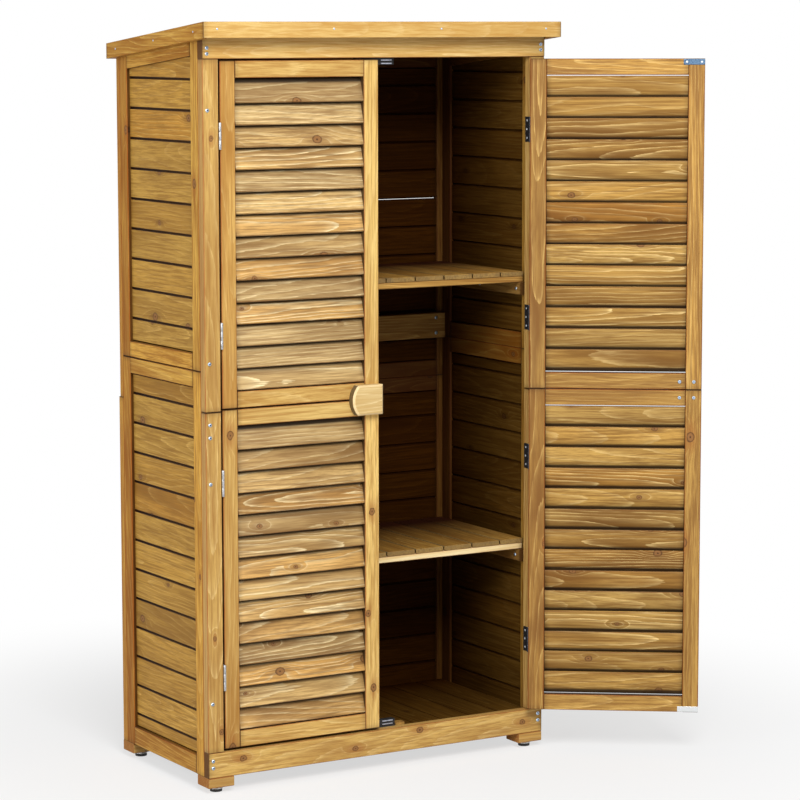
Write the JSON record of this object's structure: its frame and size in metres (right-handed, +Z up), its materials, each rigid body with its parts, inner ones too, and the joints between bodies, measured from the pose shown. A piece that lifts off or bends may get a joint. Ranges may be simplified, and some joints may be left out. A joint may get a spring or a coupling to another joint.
{
  "type": "garden storage cabinet",
  "caption": "Tall stained-wood garden cabinet with louvred double doors, slatted lift-out shelves, a falling felt roof and short block feet.",
  "frame": {"origin": "on the ground under the middle of the body, between the four feet", "axes": "+Z up, front faces -Y, the viewer's left is -X"},
  "size_m": [1.1278, 0.6621, 1.61],
  "materials": {
    "frame_wood": "honey-brown stained softwood with a satin coat",
    "louvre_wood": "honey-brown stained softwood slats",
    "cladding_wood": "honey-brown stained softwood cladding",
    "inner_wood": "stained softwood, less coated inside",
    "handle_wood": "paler stained softwood with rounded edges",
    "hinge_steel": "zinc-plated steel",
    "plate_steel": "bright steel plate",
    "glide_steel": "pressed nickel-plated steel",
    "glide_plastic": "black plastic",
    "catch_plastic": "black plastic",
    "roof_felt": "mineral-faced bitumen felt"
  },
  "bodies": {
    "cabinet": {"back_batten": "inner_wood", "back_fascia": "frame_wood", "catch_block": "inner_wood", "catch_bodies": "catch_plastic", "catch_plates": "plate_steel", "floor_bearers": "inner_wood", "floor_boards": "inner_wood", "foot_blocks": "frame_wood", "front_fascia": "frame_wood", "glide_cups": "glide_steel", "glide_pads": "glide_plastic", "header": "frame_wood", "hinge_pins": "hinge_steel", "left_barge_board": "frame_wood", "left_lower_post": "frame_wood", "left_lower_side_boards": "cladding_wood", "left_lower_side_frame": "frame_wood", "left_post_hinge_leaves": "hinge_steel", "left_upper_post": "frame_wood", "left_upper_side_boards": "cladding_wood", "left_upper_side_frame": "frame_wood", "lower_back_boards": "cladding_wood", "lower_back_frame": "frame_wood", "right_barge_board": "frame_wood", "right_lower_post": "frame_wood", "right_lower_side_boards": "cladding_wood", "right_lower_side_frame": "frame_wood", "right_post_hinge_leaves": "hinge_steel", "right_upper_post": "frame_wood", "right_upper_side_boards": "cladding_wood", "right_upper_side_frame": "frame_wood", "roof_deck": "inner_wood", "roof_felt": "roof_felt", "shelf_cleats": "inner_wood", "sill": "frame_wood", "upper_back_boards": "cladding_wood", "upper_back_frame": "frame_wood"},
    "left_door": {"left_door_handle": "handle_wood", "left_door_hinge_leaves": "hinge_steel", "left_door_lower_frame": "frame_wood", "left_door_lower_slats": "louvre_wood", "left_door_strike_plates": "plate_steel", "left_door_upper_frame": "frame_wood", "left_door_upper_slats": "louvre_wood"},
    "right_door": {"right_door_handle": "handle_wood", "right_door_hinge_leaves": "hinge_steel", "right_door_lower_frame": "frame_wood", "right_door_lower_slats": "louvre_wood", "right_door_strike_plates": "plate_steel", "right_door_upper_frame": "frame_wood", "right_door_upper_slats": "louvre_wood"},
    "upper_shelf": {"upper_shelf_battens": "inner_wood", "upper_shelf_slats": "inner_wood"},
    "lower_shelf": {"lower_shelf_battens": "inner_wood", "lower_shelf_slats": "inner_wood"}
  },
  "joints": [
    {"name": "left_door_hinge", "type": "hinge", "parent": "cabinet", "child": "left_door", "pos_m": [-0.3795, -0.2055, 0.8], "axis": [0, 0, -1], "range_deg": [0, 170]},
    {"name": "right_door_hinge", "type": "hinge", "parent": "cabinet", "child": "right_door", "pos_m": [0.3795, -0.2055, 0.8], "axis": [0, 0, 1], "range_deg": [-144, 26]},
    {"name": "upper_shelf_lift", "type": "slide", "parent": "cabinet", "child": "upper_shelf", "axis": [0, 0, 1], "range_m": [0, 0.05]},
    {"name": "lower_shelf_lift", "type": "slide", "parent": "cabinet", "child": "lower_shelf", "axis": [0, 0, 1], "range_m": [0, 0.05]}
  ]
}
